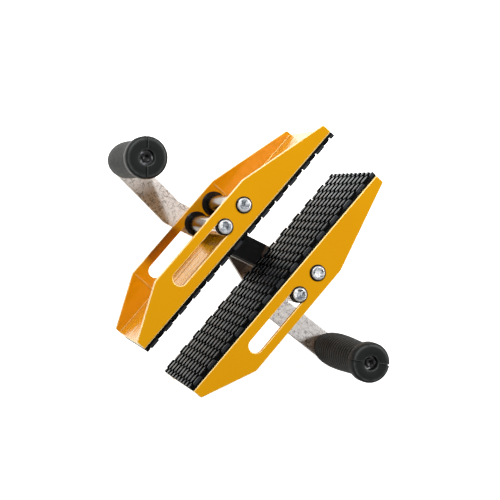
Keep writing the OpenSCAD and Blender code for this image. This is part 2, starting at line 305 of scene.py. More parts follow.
def lathe(profile, axis, segments=72, closed=False, wear=None):
    """Turns a profile of (radius, z) about an upright axis, with one paler-colour share per point
    (worn surfaces and painted highlight).
    """
    n = len(profile)
    faces, shares = [], []
    for j in range(n if closed else n - 1):
        k = (j + 1) % n
        for i in range(segments):
            m = (i + 1) % segments
            if profile[j][0] < 1e-6:
                face = (j * segments, k * segments + m, k * segments + i)
            elif profile[k][0] < 1e-6:
                face = (j * segments + i, j * segments + m, k * segments)
            else:
                face = (j * segments + i, j * segments + m, k * segments + m, k * segments + i)
            faces.append(face)
            shares.append(wear[j] if wear else 0.0)
    shape = Shape()
    shape.add(around(axis, [[point] * segments for point in profile]), faces, shares)
    return shape


def ring_shape(axis, inner, outer, z0, z1, edge_radius, segments=72):
    profile = rounded([(inner, z0), (outer, z0), (outer, z1), (inner, z1)],
                      [edge_radius] * 4, step=30)
    return lathe(profile, axis, segments, closed=True)


def tube_shape(node, edge_radius):
    axis, radius, z0, z1 = round_part(node)
    return ring_shape(axis, BORE_RADIUS, radius, z0, z1, edge_radius)


def hexagon_radius(across_flats, i):
    angle = 2 * math.pi * i / HEX_SEGMENTS
    return across_flats / 2 / math.cos(angle % (math.pi / 3) - math.pi / 6)


def add_nut(shape, axis, z0, z1):
    """Hexagon nut with both faces chamfered and its bore countersunk."""
    countersink = 0.7
    face_inset, cone_slope = 0.25, 1.75   # chamfer cone: radius below half the flats, and growth
    steps = (0.0, 0.25, 0.5, 0.8, 1.15, 1.5)
    heights = [z0 + step for step in steps] + [z1 - step for step in reversed(steps)]
    rows = [[(BORE_RADIUS, z0 + countersink)] * HEX_SEGMENTS,
            [(BORE_RADIUS + countersink, z0)] * HEX_SEGMENTS]
    for z in heights:
        cone = NUT_ACROSS_FLATS / 2 - face_inset + min(z - z0, z1 - z) * cone_slope
        rows.append([(min(hexagon_radius(NUT_ACROSS_FLATS, i), cone), z)
                     for i in range(HEX_SEGMENTS)])
    rows += [[(BORE_RADIUS + countersink, z1)] * HEX_SEGMENTS,
             [(BORE_RADIUS, z1 - countersink)] * HEX_SEGMENTS]
    shape.add(around(axis, rows), band_faces(len(rows), HEX_SEGMENTS, closed=True))


def threaded_shank(z_low, thread_length, shoulder):
    """Profile of a bolt's end: chamfer, thread, then plain shank up to the shoulder."""
    pitch, depth = 1.75, 0.55
    root = THREAD_RADIUS - depth
    thread_top = z_low + thread_length
    profile = [(0.0, z_low), (4.6, z_low), (5.2, z_low + 0.25)]
    z = z_low + 0.7
    while z + pitch <= thread_top:
        profile += [(root, z), (THREAD_RADIUS, z + pitch * 0.42), (THREAD_RADIUS, z + pitch * 0.58)]
        z += pitch
    return profile + [(root, z), (SHANK_RADIUS, thread_top + 0.6), (SHANK_RADIUS, shoulder)]


# ---------------------------------------------------------------- material tools

def scaled(colour, by):
    return tuple(c * by for c in colour)


class Material:
    """A procedural material in object space. Texture scales are per metre, and a ramp's
    stops are (position, grey or colour)."""

    def __init__(self, name):
        self.material = bpy.data.materials.new(name)
        self.material.use_nodes = True
        self.tree = self.material.node_tree
        self.tree.nodes.clear()
        self.output = self.node("ShaderNodeOutputMaterial")
        self.place = self.node("ShaderNodeTexCoord").outputs["Object"]

    def node(self, kind, **settings):
        node = self.tree.nodes.new(kind)
        for key, value in settings.items():
            setattr(node, key, value)
        return node

    def put(self, socket, value):
        """Links a socket, or sets its value."""
        if isinstance(value, bpy.types.NodeSocket):
            self.tree.links.new(value, socket)
        elif isinstance(value, tuple) and socket.type == "RGBA":
            socket.default_value = (*value, 1.0)
        else:
            socket.default_value = value

    def mapped(self, scale=(1, 1, 1), location=(0, 0, 0)):
        node = self.node("ShaderNodeMapping")
        self.put(node.inputs["Vector"], self.place)
        self.put(node.inputs["Scale"], scale)
        self.put(node.inputs["Location"], location)
        return node.outputs["Vector"]

    def noise(self, scale, detail=3.0, rough=0.5, at=None, distortion=0.0):
        node = self.node("ShaderNodeTexNoise")
        self.put(node.inputs["Vector"], at or self.place)
        self.put(node.inputs["Scale"], scale)
        self.put(node.inputs["Detail"], detail)
        self.put(node.inputs["Roughness"], rough)
        self.put(node.inputs["Distortion"], distortion)
        return node.outputs["Fac"]

    def cells(self, scale, at=None, feature="F1"):
        node = self.node("ShaderNodeTexVoronoi", feature=feature)
        self.put(node.inputs["Vector"], at or self.place)
        self.put(node.inputs["Scale"], scale)
        return node

    def cell_tone(self, scale, at):
        """One grey value for each cell; the multiplication turns its colour into a number."""
        return self.times(self.cells(scale, at).outputs["Color"], 1.0)

    def cell_edge(self, scale, at):
        """Distance to the nearest cell border."""
        return self.cells(scale, at, "DISTANCE_TO_EDGE").outputs["Distance"]

    def ramp(self, factor, *stops):
        node = self.node("ShaderNodeValToRGB")
        self.put(node.inputs["Fac"], factor)
        elements = node.color_ramp.elements
        while len(elements) > 1:
            elements.remove(elements[-1])
        for i, (position, colour) in enumerate(stops):
            if isinstance(colour, (int, float)):
                colour = (colour, colour, colour)
            element = elements[0] if i == 0 else elements.new(position)
            element.position, element.color = position, (*colour, 1.0)
        return node.outputs["Color"]

    def mix(self, factor, under, over, blend="MIX"):
        node = self.node("ShaderNodeMix", data_type="RGBA", blend_type=blend)
        self.put(node.inputs[0], factor)
        self.put(node.inputs[6], under)
        self.put(node.inputs[7], over)
        return node.outputs[2]

    def warp(self, at, scale, amount):
        """Moves coordinates about by a coloured noise; amount is in metres."""
        noise = self.node("ShaderNodeTexNoise")
        self.put(noise.inputs["Vector"], self.place)
        self.put(noise.inputs["Scale"], scale)
        self.put(noise.inputs["Detail"], 3.0)
        moved = self.node("ShaderNodeVectorMath", operation="MULTIPLY_ADD")
        self.put(moved.inputs[0], noise.outputs["Color"])
        self.put(moved.inputs[1], (amount, amount, amount))
        self.put(moved.inputs[2], at)
        return moved.outputs["Vector"]

    def math(self, operation, a, b=0.0):
        node = self.node("ShaderNodeMath", operation=operation)
        self.put(node.inputs[0], a)
        self.put(node.inputs[1], b)
        return node.outputs[0]

    def plus(self, value, more):
        return self.math("ADD", value, more)

    def minus(self, value, less):
        return self.math("SUBTRACT", value, less)

    def times(self, value, by):
        return self.math("MULTIPLY", value, by)

    def between(self, factor, low, high):
        node = self.node("ShaderNodeMapRange")
        self.put(node.inputs["Value"], factor)
        self.put(node.inputs["To Min"], low)
        self.put(node.inputs["To Max"], high)
        return node.outputs["Result"]

    # the paler-colour share of each face: worn surfaces and painted highlight
    def wear(self):
        return self.node("ShaderNodeAttribute", attribute_name="wear").outputs["Fac"]

    def axis(self, vector, name):
        node = self.node("ShaderNodeSeparateXYZ")
        self.put(node.inputs[0], vector)
        return node.outputs[name]

    def face_z(self):
        """Z of the face normal."""
        return self.axis(self.node("ShaderNodeNewGeometry").outputs["True Normal"], "Z")

    def bump(self, height, distance, strength, normal=None):
        node = self.node("ShaderNodeBump")
        self.put(node.inputs["Height"], height)
        self.put(node.inputs["Distance"], distance)
        self.put(node.inputs["Strength"], strength)
        if normal is not None:
            self.put(node.inputs["Normal"], normal)
        return node.outputs["Normal"]

    def calm(self, rough):
        """Softer gloss where other surfaces see this one, so small lights leave no specks."""
        path = self.node("ShaderNodeLightPath")
        seen = self.plus(self.times(path.outputs["Is Diffuse Ray"], by=0.5),
                         self.times(path.outputs["Is Glossy Ray"], by=0.28))
        return self.plus(rough, seen)

    def finish(self, **sockets):
        """Adds the surface; underscores in the names stand for spaces."""
        surface = self.node("ShaderNodeBsdfPrincipled")
        for name, value in sockets.items():
            self.put(surface.inputs[name.replace("_", " ")], value)
        self.tree.links.new(surface.outputs["BSDF"], self.output.inputs["Surface"])
        return self.material


# ---------------------------------------------------------------- materials
# Each function is named after its material and fills in an empty one.

def yellow_powder_coat(m):
    wide = m.noise(scale=9.0, detail=2.0)
    fine = m.noise(scale=1500.0, detail=2.0)
    peel = m.noise(scale=620.0, detail=2.5, rough=0.45)
    spots = m.cells(scale=330.0).outputs["Distance"]
    base = m.mix(m.ramp(wide, (0.3, 0.0), (0.7, 1.0)),
                 under=(0.75, 0.328, 0.0010), over=(0.78, 0.356, 0.0012))
    base = m.mix(m.ramp(fine, (0.35, 0.0), (0.75, 0.30)), base, over=(0.81, 0.39, 0.002))
    blotches = m.ramp(m.noise(scale=45.0, detail=4.0, rough=0.65), (0.60, 0.0), (0.80, 0.16))
    base = m.mix(blotches, base, over=(0.66, 0.26, 0.002))
    # painted highlight: pale, broken paint along the rounded edges, where they catch the light
    painted_edge_highlight = m.times(m.wear(), m.ramp(m.noise(scale=180.0, detail=4.0, rough=0.6),
                                      (0.35, 0.60), (0.70, 1.0)))
    base = m.mix(painted_edge_highlight, base, over=(1.0, 0.80, 0.36))
    # painted shade: darker towards the floor, low inside the channels; the stops are fifths of a
    # metre in z
    painted_light_by_height = m.ramp(m.times(m.axis(m.place, "Z"), by=5.0), (0.19, 0.85), (0.21, 0.75), (0.60, 0.0))
    base = m.mix(painted_light_by_height, base, m.mix(1.0, base, over=(0.94, 0.82, 0.6), blend="MULTIPLY"))
    wave = m.noise(scale=150.0, detail=2.0,
                   at=m.mapped(scale=(0.0, 0.03, 1.0), location=(0.3, 0.1, 0.02)))
    rough = m.plus(m.between(m.noise(scale=70.0, detail=4.0, rough=0.6), low=0.075, high=0.12),
                   m.times(m.wear(), by=0.40))
    height = m.plus(m.times(peel, by=1.0),
                    m.times(m.ramp(spots, (0.0, 1.0), (0.08, 0.0)), by=0.25))
    wavy = m.bump(wave, distance=0.0008, strength=1.0)
    rough = m.calm(rough)
    return m.finish(Base_Color=base, Metallic=0.16, Roughness=rough, Specular_IOR_Level=0.46,
                    Coat_Weight=m.minus(0.36, m.times(m.wear(), by=0.36)),
                    Coat_Roughness=0.04, Coat_IOR=1.45,
                    Normal=m.bump(height, distance=0.000004, strength=0.20, normal=wavy),
                    Coat_Normal=wavy)


def black_rubber(m):
    """Dark rubber of the pads, whose land tops are worn smooth and grey: partly worn rubber, partly
    a painted sheen.
    """
    fine = m.noise(scale=2200.0, rough=0.6)
    mid = m.noise(scale=300.0, detail=4.0, rough=0.6)
    big = m.noise(scale=42.0, rough=0.6)
    top = m.wear()
    low = m.mix(m.ramp(mid, (0.45, 0.0), (0.80, 1.0)),
                under=(0.0022, 0.0022, 0.0023), over=(0.006, 0.006, 0.006))
    high = m.mix(m.ramp(big, (0.35, 0.0), (0.70, 1.0)),
                 under=(0.013, 0.014, 0.016), over=(0.027, 0.028, 0.031))
    high = m.mix(m.ramp(mid, (0.40, 0.0), (0.75, 0.5)), high, over=(0.08, 0.08, 0.08))
    facing_up = m.ramp(m.face_z(), (0.80, 0.0), (0.95, 1.0))
    low = m.mix(facing_up, low, over=(0.0045, 0.0045, 0.0045))
    # painted reflection of the bright floor: land tops are paler towards the floor
    painted_light_by_height = m.ramp(m.plus(m.times(m.axis(m.place, "Z"), by=5.0), m.times(big, by=0.12)),
                  (0.34, 0.95), (0.60, 0.30), (0.88, 0.0))
    high = m.mix(m.times(painted_light_by_height, by=0.8), high, over=(0.15, 0.153, 0.16))
    base = m.mix(top, low, high)
    specular = m.plus(m.times(top, by=0.96), more=0.04)
    rough = m.minus(m.plus(m.times(top, by=-0.16), m.between(mid, low=0.52, high=0.66)),
                    m.times(m.times(top, painted_light_by_height), by=0.18))
    height = m.plus(m.times(fine, by=0.5), m.times(mid, by=0.8))
    return m.finish(Base_Color=base, Roughness=rough, Specular_IOR_Level=specular,
                    Specular_Tint=(0.78, 0.88, 1.0),
                    Normal=m.bump(height, distance=0.00006, strength=0.6))


def black_rubber_sheet(m):
    shine, grey = 0.40, 0.085   # middling roughness and base tone
    at = m.mapped(location=(0.31, 0.217, 0))
    fine = m.noise(scale=2200.0, rough=0.6, at=at)
    mid = m.noise(scale=260.0, detail=4.0, rough=0.6, at=at)
    dust = m.ramp(m.noise(scale=95.0, detail=5.0, rough=0.7, at=at), (0.55, 0.0), (0.82, 1.0))
    base = m.mix(dust, under=(grey, grey, grey * 1.04),
                 over=(grey * 2.1, grey * 2.05, grey * 2.0))
    base = m.mix(m.times(m.wear(), mid), base, over=(grey * 2.6, grey * 2.6, grey * 2.7))
    rough = m.between(mid, low=shine - 0.06, high=shine + 0.10)
    height = m.plus(m.times(fine, by=0.5), m.times(mid, by=0.8))
    return m.finish(Base_Color=base, Roughness=rough, Specular_IOR_Level=0.55,
                    Normal=m.bump(height, distance=0.00009, strength=0.7))


def galvanised_steel(m):
    """Pale metal with two nets of dark, broken crystal borders."""
    bent = m.warp(m.mapped(scale=(0.42, 1.0, 1.0)), scale=160.0, amount=0.0045)
    border = m.cell_edge(scale=430.0, at=bent)
    fine_border = m.cell_edge(scale=900.0, at=m.warp(
        m.mapped(scale=(0.26, 1.0, 1.0), location=(0.02, 0.05, 0)), scale=420.0, amount=0.0022))
    cell = m.cell_tone(scale=430.0, at=bent)
    cloud = m.noise(scale=70.0, detail=4.0, rough=0.6)
    grain = m.noise(scale=1300.0, detail=4.0, rough=0.7)
    line = m.times(m.ramp(border, (0.0, 1.0), (0.11, 0.0)),
                   m.ramp(m.noise(scale=190.0, rough=0.6), (0.40, 0.0), (0.58, 1.0)))
    thin = m.times(m.ramp(fine_border, (0.0, 1.0), (0.10, 0.0)),
                   m.ramp(m.noise(scale=210.0, rough=0.6), (0.42, 0.0), (0.60, 0.7)))
    base = m.mix(cell, under=(0.93, 0.93, 0.92), over=(1.0, 1.0, 1.0))
    base = m.mix(m.ramp(cloud, (0.50, 0.0), (0.80, 0.15)), base, over=(0.75, 0.75, 0.75))
    base = m.mix(line, base, over=(0.22, 0.22, 0.225))
    base = m.mix(thin, base, over=(0.34, 0.34, 0.34))
    # painted shade: dark brown on flat faces close to x = 0, where the jaws shade the arms; the
    # stops are tenths of a metre
    painted_shade_near_middle = m.plus(m.times(m.math("ABSOLUTE", m.axis(m.place, "X")), by=10.0),
                  m.times(cloud, by=0.12))
    flat = m.ramp(m.math("ABSOLUTE", m.face_z()), (0.5, 0.0), (0.8, 1.0))
    base = m.mix(m.times(m.ramp(painted_shade_near_middle, (0.30, 0.86), (0.46, 0.0)), flat), base,
                 over=(0.10, 0.065, 0.040))
    # painted highlight: pale rounded edges, where they catch the light
    base = m.mix(m.times(m.wear(), by=0.85), base, over=(0.95, 0.95, 0.95))
    rough = m.between(m.plus(m.times(cell, by=0.6), m.times(grain, by=0.4)), low=0.34, high=0.56)
    height = m.plus(m.times(cell, by=0.7), m.times(grain, by=0.5))
    height = m.minus(height, m.times(m.math("MAXIMUM", line, thin), by=0.8))
    return m.finish(Base_Color=base, Metallic=0.18, Roughness=rough,
                    Normal=m.bump(height, distance=0.00010, strength=0.7))


def zinc_pin(m):
    """Bright zinc with large crystal patches, bluish in their dark parts."""
    bent = m.warp(m.place, scale=320.0, amount=0.003)
    patch = m.cell_tone(scale=230.0, at=bent)
    small = m.cell_tone(scale=760.0, at=m.warp(m.place, scale=500.0, amount=0.002))
    tone = m.plus(m.times(patch, by=0.62), m.times(small, by=0.38))
    base = m.ramp(tone, (0.22, (0.07, 0.085, 0.10)), (0.38, (0.22, 0.24, 0.27)),
                  (0.54, (0.46, 0.48, 0.51)), (0.74, (0.82, 0.83, 0.85)))
    base = m.mix(m.times(m.wear(), by=0.75), base, over=(0.80, 0.80, 0.80))
    rough = m.between(patch, low=0.24, high=0.46)
    height = m.plus(m.times(tone, by=1.0), m.times(m.noise(scale=1700.0, rough=0.6), by=0.3))
    return m.finish(Base_Color=base, Metallic=0.45, Roughness=rough,
                    Normal=m.bump(height, distance=0.00035, strength=0.9))


def zinc_hardware(m):
    tone = (0.66, 0.68, 0.72)
    cell = m.cell_tone(scale=420.0, at=m.mapped(location=(0.013, 0.007, 0)))
    cloud = m.noise(scale=240.0, detail=5.0, rough=0.66, distortion=0.8)
    fine = m.noise(scale=1700.0, rough=0.6)
    base = m.mix(m.ramp(cloud, (0.36, 0.0), (0.64, 1.0)), under=scaled(tone, by=0.66), over=tone)
    base = m.mix(m.between(cell, low=0.0, high=0.25), base, over=(0.90, 0.92, 0.95))
    rough = m.between(m.plus(m.times(cell, by=0.5), m.times(cloud, by=0.5)), low=0.24, high=0.44)
    height = m.plus(m.times(cloud, by=1.0), m.times(fine, by=0.25))
    return m.finish(Base_Color=base, Metallic=0.75, Roughness=rough,
                    Normal=m.bump(height, distance=0.00008, strength=0.9))


def polished_steel(m):
    lines = m.noise(scale=500.0, rough=0.6, at=m.mapped(scale=(0.15, 0.15, 6.0)))
    cloud = m.noise(scale=70.0, detail=4.0, rough=0.6)
    base = m.mix(m.ramp(cloud, (0.40, 0.0), (0.70, 0.45)),
                 under=(0.74, 0.73, 0.72), over=(0.56, 0.55, 0.54))
    # painted dark reflection: dark between the jaws' sides, where the tubes mirror dark
    # surroundings; the stops are fifths of a metre in z
    height = m.plus(m.times(m.axis(m.place, "Z"), by=5.0), m.times(cloud, by=0.12))
    base = m.mix(m.ramp(height, (0.22, 0.0), (0.24, 0.96), (0.60, 0.90), (0.80, 0.0)), base,
                 over=(0.035, 0.028, 0.024))
    rough = m.calm(m.plus(m.between(lines, low=0.07, high=0.17),
                          m.between(cloud, low=0.0, high=0.06)))
    return m.finish(Base_Color=base, Metallic=1.0, Roughness=rough,
                    Normal=m.bump(lines, distance=0.00003, strength=0.5))


def black_nylon(m):
    fine = m.noise(scale=1300.0, rough=0.6)
    cloud = m.noise(scale=160.0, detail=4.0, rough=0.6)
    base = m.mix(m.ramp(cloud, (0.4, 0.0), (0.75, 1.0)),
                 under=(0.004, 0.004, 0.0042), over=(0.009, 0.009, 0.009))
    return m.finish(Base_Color=base, Roughness=m.between(cloud, low=0.18, high=0.32),
                    Specular_IOR_Level=0.35,
                    Normal=m.bump(fine, distance=0.00004, strength=0.6))


def moulded_grip(m):
    tone = (0.0050, 0.0053, 0.0052)
    at = m.mapped(location=(0.17, -0.17, 0.085))
    fine = m.noise(scale=1500.0, rough=0.62, at=at)
    mid = m.noise(scale=240.0, detail=4.0, rough=0.6, at=at)
    cloud = m.noise(scale=34.0, rough=0.55, at=at)
    base = m.mix(m.ramp(cloud, (0.35, 0.0), (0.70, 1.0)), under=tone, over=scaled(tone, by=1.5))
    base = m.mix(m.ramp(fine, (0.50, 0.0), (0.80, 0.5)), base, over=scaled(tone, by=2.4))
    # painted highlight: paler on the marked rib flanks, collar rim, top edge and groove lips
    base = m.mix(m.times(m.wear(), m.ramp(mid, (0.30, 0.3), (0.70, 0.9))), base,
                 over=scaled(tone, by=14.0))
    return m.finish(Base_Color=base, Roughness=m.between(mid, low=0.40, high=0.58),
                    Specular_IOR_Level=0.20, Specular_Tint=(0.88, 0.96, 0.93),
                    Normal=m.bump(m.plus(m.times(fine, by=0.8), mid),
                                  distance=0.00008, strength=0.75))


def black_oxide_steel(m):
    cloud = m.noise(scale=420.0, detail=4.0, rough=0.65)
    base = m.mix(m.ramp(cloud, (0.4, 0.0), (0.7, 1.0)),
                 under=(0.014, 0.014, 0.015), over=(0.040, 0.039, 0.038))
    return m.finish(Base_Color=base, Metallic=0.6, Roughness=m.between(cloud, low=0.26, high=0.45),
                    Normal=m.bump(m.noise(scale=1500.0, rough=0.6),
                                  distance=0.00004, strength=0.6))


MATERIALS = {fill_in.__name__: fill_in(Material(fill_in.__name__)) for fill_in in (
    yellow_powder_coat, black_rubber, black_rubber_sheet, galvanised_steel, zinc_pin,
    zinc_hardware, polished_steel, black_nylon, moulded_grip, black_oxide_steel)}


# ---------------------------------------------------------------- jaws

def jaw_shape():
    """Right jaw: a channel with its web at low x and its side plates towards +x. It is drawn
    as a flat sheet, u across it from the front edge to the rear edge, and folded twice."""
    low, high = box_mm("right_jaw")
    web, edge, y_end = low[0], high[0], high[1]
    outer_bend, inner_bend = 2.0, 0.8      # radii of the folds
    tip = 45.0                             # x of the side plates' edge at both ends
    shoulder_high, shoulder_low = 48.0, -91.0   # y between which the plates are full width
    end_radius, shoulder_radius = 2.2, 9.0
    slot_radius, slot_low = 7.8, -71.5
    slot_high = centre("right_slide_pin")[1] + 0.6
    hole_radius, cut_edge = 7.75, 0.7
    pin_x, pin_y = centre_xy("right_fixed_pin")

    fold = outer_bend * math.pi / 2        # length of a fold in the sheet
    span = (FRONT - outer_bend) - (REAR + outer_bend)
    fold_x = web + outer_bend
    settled_x = fold_x + 6.0               # beyond this, inner and outer x agree
    inside_web = web + JAW_SHEET

    def inner_x(x):
        if x >= settled_x:
            return x
        start = inside_web + inner_bend
        return start + (x - fold_x) * (settled_x - start) / (settled_x - fold_x)

    def folded(u, y, depth):
        share = depth / JAW_SHEET
        if 0 <= u <= span:
            across = u / span
            outer = (web, FRONT - outer_bend - u)
            inner = (inside_web, (FRONT - JAW_SHEET - inner_bend) * (1 - across)
                     + (REAR + JAW_SHEET + inner_bend) * across)
        else:
            if u < 0:
                side, face_z, past_fold = 1, FRONT, -fold - u
            else:
                side, face_z, past_fold = -1, REAR, u - (span + fold)
            if past_fold >= 0:
                x = fold_x + past_fold
                return (x * (1 - share) + inner_x(x) * share, y, face_z - side * depth)
            angle = -past_fold / fold * math.pi / 2
            sine, cosine = math.sin(angle), math.cos(angle)
            outer = (fold_x - outer_bend * sine,
                     face_z - side * outer_bend + side * outer_bend * cosine)
            inner = (inside_web + inner_bend - inner_bend * sine,
                     face_z - side * (JAW_SHEET + inner_bend) + side * inner_bend * cosine)
        return (outer[0] * (1 - share) + inner[0] * share, y,
                outer[1] * (1 - share) + inner[1] * share)

    def front_u(x):
        return -fold - (x - fold_x)

    def rear_u(x):
        return span + fold + (x - fold_x)

    fold_lines = ([front_u(settled_x)] + [-fold + fold * i / 6 for i in range(7)]
                  + [span + fold * i / 6 for i in range(7)] + [rear_u(settled_x)])
    corners = [(front_u(tip), -y_end), (rear_u(tip), -y_end),
               (rear_u(edge), shoulder_low), (rear_u(edge), shoulder_high),
               (rear_u(tip), y_end), (front_u(tip), y_end),
               (front_u(edge), shoulder_high), (front_u(edge), shoulder_low)]
    radii = [end_radius, end_radius, shoulder_radius, shoulder_radius] * 2
    outline = []
    for i in range(8):
        outline += corner(corners[i - 1], corners[i], corners[(i + 1) % 8], radii[i], step=6.0)
        if i == 0:
            outline += [np.array([u, -y_end]) for u in fold_lines]
        if i == 4:
            outline += [np.array([u, y_end]) for u in reversed(fold_lines)]
    holes = []
    for u in (front_u(pin_x), rear_u(pin_x)):
        holes.append(arc((u, slot_high), slot_radius, 0, math.pi, 20)
                     + arc((u, slot_low), slot_radius, math.pi, 2 * math.pi, 20))
        holes.append(circle((u, pin_y), hole_radius, 48))
    cuts = [((u, -y_end + cut_edge), (u, y_end - cut_edge)) for u in fold_lines]
    shape = plate(outline, holes, JAW_SHEET, cut_edge, folded, cuts)
    paint_fold_highlights(shape, web, y_end)

    # raised lines across the inside of both side plates, near the shoulders
    steps, arch_steps = 14, 8
    height, half_width, sink = 0.9, 1.25, 0.02
    x_start, x_end = inside_web + 1.2, edge - 2.6
    row = arch_steps + 1
    for y in (shoulder_high - 1.5, shoulder_low + 1.5):
        for z, inward in ((REAR + JAW_SHEET, 1.0), (FRONT - JAW_SHEET, -1.0)):
            verts = []
            for i in range(steps + 1):
                k = i / steps
                rise = height * min(1.0, min(k, 1 - k) * 9) ** 0.5
                for j in range(row):
                    angle = math.pi * j / arch_steps
                    verts.append((x_start + k * (x_end - x_start),
                                  y + half_width * math.cos(angle) * (0.35 + 0.65 * rise / height),
                                  z + inward * (rise * math.sin(angle) - sink)))
            # the beads get a share of pale paint, a painted highlight
            shape.add(verts, [(i * row + j, i * row + j + 1, (i + 1) * row + j + 1,
                               (i + 1) * row + j)
                              for i in range(steps) for j in range(arch_steps)], wear=0.35)
    return shape


def paint_fold_highlights(shape, web, y_end):
    """Painted highlight: thin, pale paint outside the front fold and inside both folds, where the
    folds catch the light.
    """
    verts = np.array(shape.verts)
    inside_web = web + JAW_SHEET
    for number, face in enumerate(shape.faces):
        x, y, z = verts[list(face)].mean(0)
        outside = x < web + 1.75 and FRONT - 1.5 < z < FRONT - 0.15
        within = (inside_web - 0.01 < x < inside_web + 1.2
                  and (abs(z - REAR - JAW_SHEET - 0.4) < 0.45
                       or abs(z - FRONT + JAW_SHEET + 0.4) < 0.45))
        if (outside or within) and abs(y) < y_end - 0.3:
            shape.wear[number] = 1.0 if outside else 0.45


JAW = jaw_shape()
build("right_jaw_channel", JAW, "right_jaw", "yellow_powder_coat", sharp=40)
build("left_jaw_channel", JAW.mirrored(), "left_jaw", "yellow_powder_coat", sharp=40)


# ---------------------------------------------------------------- rubber pads

def pad_shape():
    """Right pad: a base sheet with rows of boat-shaped lands towards -x, every other row
    shifted by half a pitch."""
    (face, y0, z0), (back, y1, z1) = box_mm("right_pad")
    land_height = 3.0
    base = face + land_height
    shape = Shape()

    # base sheet: sections along y, the end ones drawn in by end_inset
    end_inset, half_depth = 0.5, 69.5
    section = rounded([(back, z0), (base, z0), (base, z1), (back, z1)],
                      [0.4, 0.9, 0.9, 0.4], step=30)
    n = len(section)
    middle = np.array([(back + base) / 2, (z0 + z1) / 2])
    verts = []
    for y, inset in ((y0, end_inset), (y0 + end_inset, 0.0),
                     (y1 - end_inset, 0.0), (y1, end_inset)):
        shrink = np.array([inset / (abs(back - base) / 2), inset / half_depth])
        for point in section:
            x, z = point + (middle - point) * shrink
            verts.append((x, y, z))
    shape.add(verts, band_faces(4, n) + [tuple(range(n)), tuple(reversed(range(3 * n, 4 * n)))])

    # outline of a land: (y, z) from its centre
    rows, pitch = 27, (z1 - z0) / 10
    row_step = (y1 - y0) / rows
    half_length, half_width = row_step * 0.530, 3.55
    side = [(k * half_length, half_width * (1 - abs(k) ** 2.3) ** 0.75)
            for k in (-1.0, -0.93, -0.72, -0.40, 0.0, 0.40, 0.72, 0.93, 1.0)]
    ring = side + [(a, -b) for a, b in reversed(side[1:-1])]
    m = len(ring)
    border, jitter, end_dip = 0.02, 0.05, 0.18
    rng = np.random.default_rng(7)
    for i in range(rows + 1):
        odd = i % 2
        for j in range(10 + odd):
            y_centre = y0 + i * row_step
            z_centre = z0 + (j + (0.0 if odd else 0.5)) * pitch
            lower, shift_y, shift_z = rng.normal(0, 1, 3)
            tall = land_height - 0.05 - abs(lower) * jitter
            # share of the outline's length, share of its width, height above the base
            layers = [(1.00, 1.00, -0.25), (0.985, 0.96, tall * 0.50), (0.97, 0.92, tall * 0.90),
                      (0.955, 0.88, tall * 0.985), (0.93, 0.80, tall)]
            verts = []
            for along, across, height in layers:
                for a, b in ring:
                    y = y_centre + a * along + shift_y * jitter
                    z = z_centre + b * across + shift_z * jitter
                    dip = end_dip * (a / half_length) ** 2 if height > 0 else 0.0
                    verts.append((base - height + dip,
                                  min(max(y, y0 + border), y1 - border),
                                  min(max(z, z0 + border), z1 - border)))
            faces = band_faces(len(layers), m)
            top = (len(layers) - 1) * m
            # land tops are marked for the paler, worn rubber with its painted sheen; faces along
            # the front edge get a quarter share, a painted highlight
            shares = [0.0] * (top - m) + [1.0] * m
            # strips across the top, triangles at its two ends
            for p in range(m // 2):
                strip = dict.fromkeys((p, p + 1, (m - p - 1) % m, (m - p) % m))
                faces.append(tuple(top + q for q in strip))
                shares.append(1.0)
            for q, f in enumerate(faces):
                if min(verts[v][2] for v in f) > z1 - 0.3:
                    shares[q] = 0.25
            shape.add(verts, faces, shares)
    return shape


PAD = pad_shape()
for side, pad in (("right", PAD), ("left", PAD.mirrored())):
    build(f"{side}_ribbed_pad", pad, f"{side}_pad", "black_rubber", sharp=48,
          weighted=False, weld=False)


# ---------------------------------------------------------------- arms

# the fixed pin and the slide pin that each arm joins
ARM_PINS = {"left": ("right_fixed_pin", "left_slide_pin"),
            "right": ("left_fixed_pin", "right_slide_pin")}


def arm_shape(side):
    """Flat bar from the fixed pin past the elbow to the grip. Both arms are drawn as the left
    one, and the right one is mirrored."""
    low, high = box_mm(f"{side}_arm")
    half_width = 29.5 / 2 - 0.02
    elbow_x, inner_radius, edge_radius = -82.0, 6.0, 0.9
    flip = -1.0 if side == "right" else 1.0
    fixed, slide, grip = (np.array(centre_xy(node)) * (flip, 1.0)
                          for node in (*ARM_PINS[side], f"{side}_grip_post"))
    pivot = (fixed + slide) / 2
    slope = (fixed[1] - slide[1]) / (fixed[0] - slide[0])
    elbow = np.array([elbow_x, pivot[1] + elbow_x * slope])
    along, onward = unit(elbow - fixed), unit(grip - elbow)
    # from the middle line to the edge on the outer side of the elbow, for both straights
    off_1 = np.array([-along[1], along[0]]) * half_width
    off_2 = np.array([-onward[1], onward[0]]) * half_width
    bend = math.acos(float(unit(off_1) @ unit(off_2)))
    inner = elbow - unit(off_1 + off_2) * half_width / math.cos(bend / 2)
    start_1, start_2, start_3 = angle_of(off_1), angle_of(off_2), angle_of(-off_1)
    outline = [fixed + off_1]
    outline += arc(elbow, half_width, start_1, start_1 + wrapped(start_2 - start_1), 8)
    outline += arc(grip, half_width, start_2, start_2 - math.pi, 26)
    outline += corner(grip - off_2, inner, fixed - off_1, inner_radius, step=12)
    outline += arc(fixed, half_width, start_3, start_3 - math.pi, 26)[:-1]
    holes = [circle(point, BORE_RADIUS, 40) for point in (fixed, slide, pivot, grip)]
    shape = plate(outline, holes, high[2] - low[2], edge_radius,
                  lambda x, y, depth: (x, y, high[2] - depth))
    return shape.mirrored() if side == "right" else shape


for side in ("left", "right"):
    build(f"{side}_handed_arm", arm_shape(side), f"{side}_arm", "galvanised_steel", sharp=40)


# ---------------------------------------------------------------- pins, bushes, tubes, spacers

